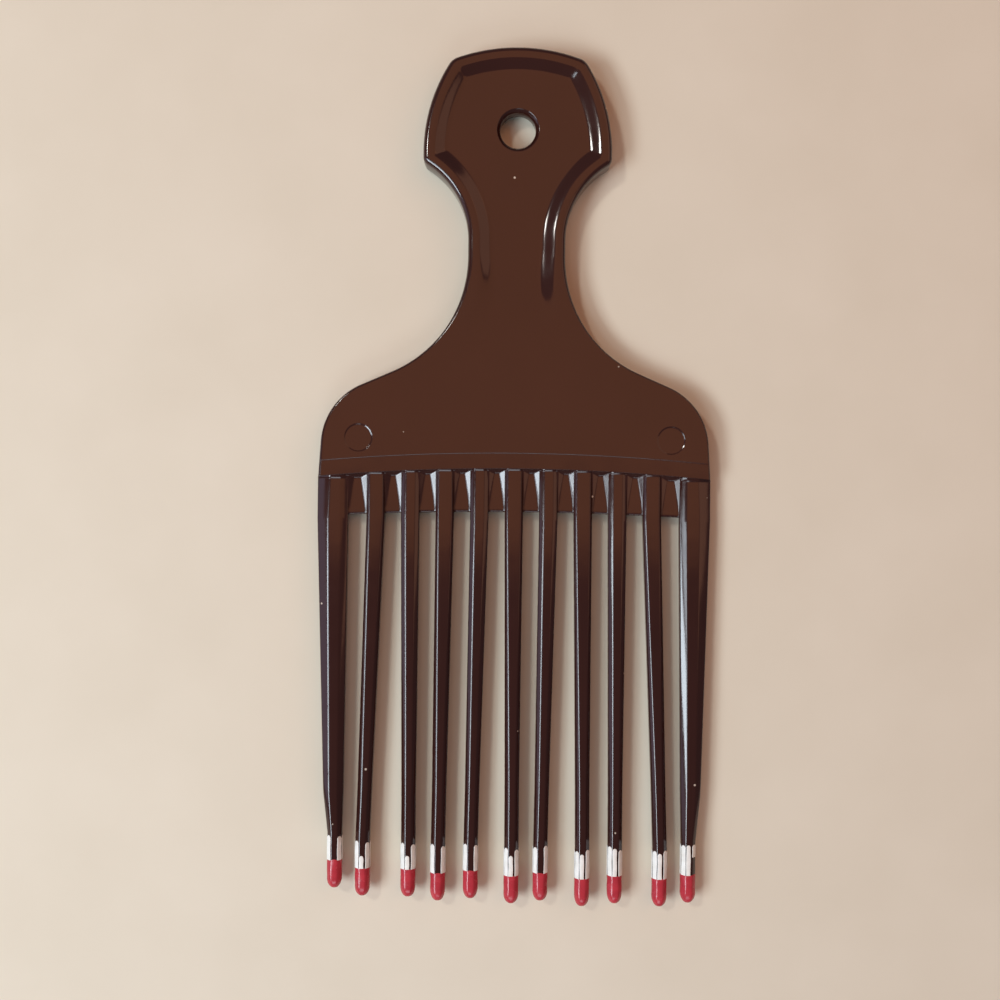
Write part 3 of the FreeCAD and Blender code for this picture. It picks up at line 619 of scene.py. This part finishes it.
def rounded(corners):
    """A closed outline with each corner replaced by a small curve."""
    spots = [np.array(corner) for corner in corners]
    points = []
    for before, spot, after in zip(spots[-1:] + spots[:-1], spots, spots[1:] + spots[:1]):
        way_in, way_out = np.linalg.norm(before - spot), np.linalg.norm(after - spot)
        start = spot + (before - spot) * (min(TOOTH_ROUND, LONGEST_CUT * way_in) / way_in)
        end = spot + (after - spot) * (min(TOOTH_ROUND, LONGEST_CUT * way_out) / way_out)
        for t in np.linspace(0, 1, ROUND_POINTS):
            points.append(start * (1 - t) ** 2 + spot * (2 * t * (1 - t)) + end * t ** 2)
    return points


def section(sides, front, back, half, depths):
    """Corners of a tooth's section, clockwise from the left end of its front face."""
    left, right = (half - depth for depth in depths)
    return [
        (front[0], half), (front[1], half), (sides[1], right), (sides[1], -right),
        (back[1], -half), (back[0], -half), (sides[0], -left), (sides[0], left),
    ]


def octagon(centre, width, thickness):
    """Corners of an eight-sided section."""
    half_width, half = width / 2, thickness / 2
    sides = (centre - half_width, centre + half_width)
    face = (centre - half_width * OCTAGON, centre + half_width * OCTAGON)
    depth = half - half * OCTAGON
    return section(sides, face, face, half, (depth, depth))


def guard_root(tooth, half, drawn_in, flare):
    """Corners of a guard tooth's section at its root, with a deep bevel on its outer side."""
    inner = PLATE_SIDE - GUARD_WIDTH
    bevel = GUARD_OUTER_BEVEL + flare
    sides = sorted(tooth.side * x for x in (PLATE_SIDE - drawn_in, inner))
    face = sorted(tooth.side * x for x in (PLATE_SIDE - bevel, inner + GUARD_INNER_BEVEL))
    depths = (bevel * GUARD_STEEPNESS, BEVEL_DEPTH)[::-tooth.side]
    return section(sides, face, face, half, depths)


def root_section(tooth, drawn_in=0.0, lift=0.0, flare=0.0):
    """Corners of a tooth's section at its root; a collar lifts its faces and changes a guard's side."""
    half = HALF_TOOTH + lift
    if tooth.guard:
        return guard_root(tooth, half, drawn_in, flare)
    bevels = (BROAD_BEVEL, SLIM_BEVEL) if tooth.index % 2 else (SLIM_BEVEL, BROAD_BEVEL)
    half_width = TOOTH_WIDTH / 2
    sides = (tooth.root - half_width, tooth.root + half_width)
    front, back = ((sides[0] + bevel, sides[1] - bevel) for bevel in bevels)
    return section(sides, front, back, half, (BEVEL_DEPTH, BEVEL_DEPTH))


def knee_section(tooth):
    """Corners of a tooth's section where its taper ends."""
    share = (KNEE_DROP - ROOT_DROP) / (tooth.nose - ROOT_DROP)
    straight, width = tooth.root, NOSE_FLATS
    if tooth.guard:
        straight, width = tooth.side * (PLATE_SIDE - GUARD_KNEE_INSET), GUARD_KNEE_WIDTH
    return octagon(straight + tooth.lean * share, width, NOSE_FLATS)


def between(first, second, share):
    """Corners part of the way from one section to another."""
    return [tuple(np.array(a) + (np.array(b) - np.array(a)) * share) for a, b in zip(first, second)]


def loft(shell, stations):
    """A closed form through sections, each given as a drop below the root line and its corners."""
    rows = [[(x, -drop, z) for x, z in rounded(corners)] for drop, corners in stations]
    shell.grid(rows, closed=True)
    shell.fill([rows[0]])
    shell.fill([rows[-1]])


def add_root(shell, tooth):
    """The root of a tooth, from inside the plate to the free tooth, with a collar at the plate."""
    drawn_in = EDGE_ROUND if tooth.guard else 0.0
    hold = GUARD_HOLD if tooth.guard else ROOT_HOLD
    edge = 0.0 if tooth.guard else arch(tooth.root)
    stations = [(-hold, root_section(tooth, drawn_in, COLLAR_RISE, GUARD_FLARE))]
    for share in COLLAR_SHARES:
        drop = COLLAR_TOP + (COLLAR_FOOT - COLLAR_TOP) * share
        lift = COLLAR_RISE * (1 - share)
        stations.append((drop - edge, root_section(tooth, 0.0, lift, GUARD_FLARE)))
    stations.append((COLLAR_FOOT - edge + COLLAR_END, root_section(tooth, flare=GUARD_FLARE)))
    stations.append((ROOT_DROP, root_section(tooth)))
    loft(shell, stations)


def make_tooth(tooth, material):
    """The free length of a tooth, with its sections eased at the knee."""
    root, knee = root_section(tooth), knee_section(tooth)
    nose = octagon(tooth.tip, NOSE_FLATS, NOSE_FLATS)
    stations = [(ROOT_DROP, root)]
    for share in TAPER_SHARES:
        stations.append((ROOT_DROP + (KNEE_DROP - ROOT_DROP) * share, between(root, knee, share)))
    for share in KNEE_SHARES:
        stations.append((KNEE_DROP + (tooth.nose - KNEE_DROP) * share, between(knee, nose, share)))
    stations += [(tooth.nose, nose), (tooth.coat + NOSE_HOLD, nose)]
    shell = Shell()
    loft(shell, stations)
    return shell.piece(f"tooth_{tooth.number}_moulding", material, f"tooth_{tooth.number}")


# Web between the teeth

def gusset_rise(near, below):
    """Height of the flat gusset over the web's floor, at a distance from the tooth's side."""
    share = clamp(below / GUSSET_LENGTH)
    reach = GUSSET_REACH + (GUSSET_END - GUSSET_REACH) * share
    return (reach - max(near, 0.0)) * GUSSET_RISE / GUSSET_REACH


def scoop_rise(below):
    """How far the web climbs towards the plate's lower edge, at a distance below it."""
    return (HALF_TOOTH - WEB_FLOOR) * clamp(1 - below / SCOOP_LENGTH)


def web_level(x, y, left, right):
    """Level of the web's front face at a point between two teeth."""
    below, above = arch(x) - y, y - web_edge(x)
    near = min(x - left, right - x)
    rise = -soft_lower(-gusset_rise(near, below), -scoop_rise(below), WEB_BLEND)
    level = WEB_FLOOR - soft_lower(-rise, 0.0, WEB_BLEND)
    share = max(1 - above / WEB_EDGE_RUN, 0.0)
    return level - (level - WEB_EDGE) * (1 - math.sqrt(1 - share ** 2))


def add_cell(shell, left, right):
    """The web between two teeth, with gussets, a climb to the plate and a thin lower edge."""
    across = [left - CELL_HOLD, left]
    across += list(np.linspace(left, right, CELL_POINTS))[1:-1]
    across += [right, right + CELL_HOLD]
    spots = [[(x, arch(x) - below) for x in across] for below in CELL_BELOW_PLATE]
    spots += [[(x, web_edge(x) + above) for x in across] for above in CELL_ABOVE_EDGE]
    front = [[(x, y, web_level(x, y, left, right)) for x, y in row] for row in spots]
    back = all_behind(front)
    shell.grid(front)
    shell.grid(back)
    shell.grid([front[-1], back[-1]])
    shell.grid([front[0], back[0]])
    for column in (0, -1):
        shell.grid([[row[column] for row in front], [row[column] for row in back]])


def make_handle(material):
    """Grip, tooth roots and web, as one piece."""
    shell = Shell()
    add_grip(shell)
    teeth = [read_tooth(index) for index in range(len(TEETH))]
    for tooth in teeth:
        add_root(shell, tooth)
    for tooth, after in zip(teeth, teeth[1:]):
        right_side = max(x for x, _ in root_section(tooth))
        left_side = min(x for x, _ in root_section(after))
        add_cell(shell, right_side, left_side)
    return shell.piece("handle_moulding", material, "handle")


# Coats

def dip_reach(angle, along, seed):
    """Radius of a red coat at an angle and a distance from its upper edge."""
    facet = (angle + math.pi / 8) % (math.pi / 4) - math.pi / 8
    flat = TIP_FLATS / 2 / math.cos(facet)
    radius = min(DIP_ROUNDNESS * TIP_FLATS / 2 + (1 - DIP_ROUNDNESS) * flat, flat) - DIP_MARGIN
    for height, waves, phase, rate, shift in DIP_LUMPS:
        radius += height * math.sin(waves * angle + phase * seed) * math.sin(rate * along + shift * seed)
    to_end = max(1 - (TIP_LENGTH - along) / DIP_CAP, 0.0)
    share = math.sqrt(max(1 - to_end ** 2, 0.0))
    return max(radius * share - edge_drop(along, DIP_LIP), 0.0)


def make_tip(tooth, material):
    """A red coat: the octagon of the nose softened by the dip, a round end, and an uneven upper edge."""
    seed = tooth.index * DIP_PHASE
    rows = []
    for step in range(TIP_RINGS):
        along = TIP_LENGTH * step / (TIP_RINGS - 1)
        row = []
        for turn in range(TIP_POINTS):
            angle = 2 * math.pi * turn / TIP_POINTS
            reach = dip_reach(angle, along, seed)
            waver = DIP_WAVER * math.sin(angle + seed) * max(1 - along / DIP_WAVER_RUN, 0)
            y = -tooth.coat - along - abs(waver)
            row.append((tooth.tip + reach * math.sin(angle), y, reach * math.cos(angle)))
        rows.append(row)
    shell = Shell()
    shell.grid(rows[:-1], closed=True)
    end = (tooth.tip, -tooth.coat - TIP_LENGTH, 0.0)
    shell.grid([rows[-2], [end] * TIP_POINTS], closed=True)
    shell.fill([rows[0]])
    return shell.piece(f"tip_{tooth.number}_coat", material, f"tip_{tooth.number}")


def patch_outline(half, length, start, seed):
    """Outline of a white patch on its facet: wavering sides and a round top."""
    run = length - half - start
    outline = []
    for t in np.linspace(0, 1, PATCH_POINTS):
        outline.append((half + PATCH_WAVER * math.sin(PATCH_WAVES[0] * t + seed), run * t + start))
    for angle in np.linspace(0, math.pi, PATCH_TOP_POINTS)[1:-1]:
        outline.append((half * math.cos(angle), length - half + half * math.sin(angle)))
    for t in np.linspace(1, 0, PATCH_POINTS):
        outline.append((-half + PATCH_WAVER * math.sin(PATCH_WAVES[1] * t + 2 * seed), run * t + start))
    return outline


def add_patch(shell, tooth, facet, half, outline, lift):
    """One white patch as a thin closed form on a facet of the tooth's nose."""
    turn = Matrix.Rotation(facet * math.pi / 4, 3, "Y")
    rows = []
    for drawn_in, share in PATCH_STEPS:
        level = NOSE_FLATS / 2 + COAT_THICKNESS * share
        row = []
        for x, y in outline:
            spot = turn @ Vector((x * (1 - drawn_in / half), max(y - drawn_in, -COAT_TUCK), level))
            row.append((tooth.tip + spot.x, lift - tooth.coat + spot.y, spot.z))
        rows.append(row)
    shell.grid(rows, closed=True)
    shell.fill([rows[0]])
    shell.fill([rows[-1]])


def make_undercoat(tooth, material):
    """White patches on the facets above the red coat, with round tops and worn edges."""
    shell = Shell()
    half = NOSE_FLATS / 2 * OCTAGON - COAT_MARGIN
    for facet, side in enumerate(PATCH_SIDES):
        length = tooth.white[side]
        if length <= half:
            continue
        seed = tooth.index * PATCH_PHASES[0] + facet * PATCH_PHASES[1]
        start, lift = -COAT_TUCK, 0.0
        if (tooth.index, side) == STRAY_PATCH:
            start, lift = 0.0, STRAY_LIFT
        outline = patch_outline(half, length, start, seed)
        if facet == 0:
            outline = [(x * FRONT_SHARE - FRONT_SHIFT, y) for x, y in outline]
        add_patch(shell, tooth, facet, half, outline, lift)
    return shell.piece(f"undercoat_{tooth.number}_paint", material, f"undercoat_{tooth.number}")


# Materials

def new_material(name):
    """A node material, with its tree and its shader."""
    material = bpy.data.materials.new(name)
    material.use_nodes = True
    tree = material.node_tree
    return material, tree, tree.nodes["Principled BSDF"]


def add_node(tree, kind, **settings):
    """A node with some of its sockets or properties set."""
    node = tree.nodes.new(kind)
    for key, value in settings.items():
        if key in node.inputs:
            node.inputs[key].default_value = value
        else:
            setattr(node, key, value)
    return node


def mapped(tree, scale=(1, 1, 1)):
    """Object coordinates stretched along the axes."""
    place = add_node(tree, "ShaderNodeTexCoord")
    stretch = add_node(tree, "ShaderNodeMapping")
    stretch.inputs["Scale"].default_value = scale
    tree.links.new(place.outputs["Object"], stretch.inputs["Vector"])
    return stretch.outputs["Vector"]


def noise(tree, vector, scale, detail=2.0):
    """Soft random values."""
    node = add_node(tree, "ShaderNodeTexNoise", Scale=scale, Detail=detail, Roughness=0.5)
    tree.links.new(vector, node.inputs["Vector"])
    return node.outputs["Fac"]


def ramp(tree, value, stops):
    """A colour ramp through stops of position and colour."""
    node = add_node(tree, "ShaderNodeValToRGB")
    while len(node.color_ramp.elements) < len(stops):
        node.color_ramp.elements.new(0.5)
    for element, (position, colour) in zip(node.color_ramp.elements, stops):
        element.position = position
        element.color = (*colour, 1.0)
    tree.links.new(value, node.inputs["Fac"])
    return node.outputs["Color"]


def grey(level):
    """A colour without hue."""
    return (level, level, level)


def bump(tree, height, strength, distance, before=None):
    """A normal that follows a height, on top of an earlier normal if there is one."""
    node = add_node(tree, "ShaderNodeBump", Strength=strength, Distance=distance)
    tree.links.new(height, node.inputs["Height"])
    if before:
        tree.links.new(before, node.inputs["Normal"])
    return node.outputs["Normal"]


def dusted(tree, vector, colour):
    """A colour with a few pale specks of dust on it."""
    dust = add_node(tree, "ShaderNodeTexVoronoi", Scale=150.0)
    tree.links.new(vector, dust.inputs["Vector"])
    specks = ramp(tree, dust.outputs["Distance"], ((0.026, grey(1)), (0.038, grey(0))))
    mix = add_node(tree, "ShaderNodeMix", data_type="RGBA")
    mix.inputs["B"].default_value = (0.5, 0.42, 0.34, 1)
    tree.links.new(specks, mix.inputs["Factor"])
    tree.links.new(colour, mix.inputs["A"])
    return mix.outputs["Result"]


def make_moulding():
    """Glossy dark brown plastic with faint flow, fine handling scratches and a few specks of dust."""
    material, tree, shader = new_material("moulding_plastic")
    even = mapped(tree)
    flow = noise(tree, even, scale=60, detail=3)
    brown = ramp(tree, flow, ((0.3, (0.028, 0.0078, 0.0055)), (0.7, (0.032, 0.0090, 0.0063))))
    tree.links.new(dusted(tree, even, brown), shader.inputs["Base Color"])
    wear = noise(tree, even, scale=180, detail=4)
    gloss = ramp(tree, wear, ((0.35, grey(0.09)), (0.7, grey(0.15))))
    tree.links.new(gloss, shader.inputs["Roughness"])
    shader.inputs["IOR"].default_value = 1.55
    scratch = noise(tree, mapped(tree, (6, 0.5, 1)), scale=700)
    lines = ramp(tree, scratch, ((0.62, grey(0)), (0.68, grey(1))))
    waves = noise(tree, even, scale=130)
    rippled = bump(tree, waves, strength=0.12, distance=0.0002)
    scratched = bump(tree, lines, strength=0.05, distance=0.00002, before=rippled)
    tree.links.new(scratched, shader.inputs["Normal"])
    return material


def make_red_coat():
    """Glossy red dip with slow lumps and a slightly uneven colour."""
    material, tree, shader = new_material("red_coat_paint")
    even = mapped(tree)
    patches = noise(tree, even, scale=500, detail=3)
    red = ramp(tree, patches, ((0.3, (0.38, 0.027, 0.040)), (0.7, (0.48, 0.036, 0.050))))
    tree.links.new(red, shader.inputs["Base Color"])
    gloss = ramp(tree, noise(tree, even, scale=900), ((0.3, grey(0.16)), (0.7, grey(0.30))))
    tree.links.new(gloss, shader.inputs["Roughness"])
    lumps = bump(tree, noise(tree, even, scale=420), strength=0.35, distance=0.0002)
    tree.links.new(lumps, shader.inputs["Normal"])
    return material


def make_white():
    """Thin white undercoat, a little uneven."""
    material, tree, shader = new_material("white_undercoat_paint")
    even = mapped(tree)
    patches = noise(tree, even, scale=700, detail=3)
    white = ramp(tree, patches, ((0.3, (0.74, 0.72, 0.66)), (0.7, (0.84, 0.83, 0.79))))
    tree.links.new(white, shader.inputs["Base Color"])
    gloss = ramp(tree, noise(tree, even, scale=1200), ((0.3, grey(0.38)), (0.7, grey(0.55))))
    tree.links.new(gloss, shader.inputs["Roughness"])
    grain = bump(tree, noise(tree, even, scale=1500), strength=0.25, distance=0.00008)
    tree.links.new(grain, shader.inputs["Normal"])
    return material


# Stage

def make_floor():
    """A plain pale floor, just under the pick."""
    material, tree, shader = new_material("floor_paper")
    blotches = noise(tree, mapped(tree), scale=40, detail=4)
    tone = ramp(tree, blotches, ((0.3, (0.65, 0.58, 0.46)), (0.7, (0.68, 0.61, 0.49))))
    tree.links.new(tone, shader.inputs["Base Color"])
    shader.inputs["Roughness"].default_value = 0.75
    mesh = bpy.data.meshes.new("floor")
    corners = [(x * FLOOR_REACH, y * FLOOR_REACH, 0) for x, y in ((-1, -1), (1, -1), (1, 1), (-1, 1))]
    mesh.from_pydata(corners, [], [(0, 1, 2, 3)])
    mesh.materials.append(material)
    floor = bpy.data.objects.new("floor", mesh)
    bpy.context.scene.collection.objects.link(floor)
    floor.location.z = -FLOOR_GAP


def add_light(name, spot, target, width, height, power, colour):
    """A soft panel of light that faces a point."""
    lamp = bpy.data.lights.new(name, "AREA")
    lamp.shape = "RECTANGLE"
    lamp.size = width
    lamp.size_y = height
    lamp.energy = power
    lamp.color = colour
    thing = bpy.data.objects.new(name, lamp)
    thing.location = spot
    thing.rotation_euler = (Vector(target) - Vector(spot)).to_track_quat("-Z", "Y").to_euler()
    bpy.context.scene.collection.objects.link(thing)


def make_lights():
    """Two cool windows, a dim low one, a small lamp, a cool panel, a warm ceiling and a warm fill."""
    centre = (0, 0, 0)
    cool, pale, blue = (0.80, 0.91, 1.0), (1.0, 0.97, 0.92), (0.66, 0.70, 1.0)
    warm, amber = (1.0, 0.46, 0.26), (1.0, 0.37, 0.14)
    add_light("window", (-0.534, -0.238, 0.546), centre, 0.44, 0.20, 4.6, cool)
    add_light("side_window", (-0.060, -0.640, 0.475), centre, 0.34, 0.28, 1.0, cool)
    add_light("lamp", (-0.388, 0.303, 0.63), centre, 0.08, 0.08, 1.2, pale)
    add_light("panel", (-0.445, -0.162, 0.774), centre, 0.30, 0.16, 1.1, cool)
    add_light("low_window", (-0.84, -0.10, 0.27), centre, 0.50, 0.40, 0.5, blue)
    add_light("ceiling", (0.15, 0.295, 0.93), (0.15, 0.295, 0), 0.86, 0.71, 1.68, amber)
    add_light("fill", (0.562, 0.262, 0.50), centre, 0.85, 0.40, 1.09, warm)


def make_room():
    """Dim even light from all round."""
    world = bpy.data.worlds.new("room")
    world.use_nodes = True
    back = world.node_tree.nodes["Background"]
    back.inputs["Color"].default_value = (0.92, 0.86, 0.94, 1)
    back.inputs["Strength"].default_value = 0.12
    bpy.context.scene.world = world


def make_camera():
    """Straight down, as photographed, with the pick turned a little clockwise in the frame."""
    data = bpy.data.cameras.new("camera")
    data.sensor_width = SENSOR_WIDTH
    data.lens = FOCAL_PIXELS / PICTURE_PIXELS * SENSOR_WIDTH
    camera = bpy.data.objects.new("camera", data)
    camera.location = CAMERA_PLACE
    camera.rotation_euler = (0, 0, CAMERA_TURN)
    bpy.context.scene.collection.objects.link(camera)
    bpy.context.scene.camera = camera


moulding, red_coat, white = make_moulding(), make_red_coat(), make_white()
make_handle(moulding)
for index in range(len(TEETH)):
    tooth = read_tooth(index)
    make_tooth(tooth, moulding)
    make_tip(tooth, red_coat)
    make_undercoat(tooth, white)
make_floor()
make_lights()
make_room()
make_camera()
bpy.context.scene.view_settings.view_transform = "Standard"
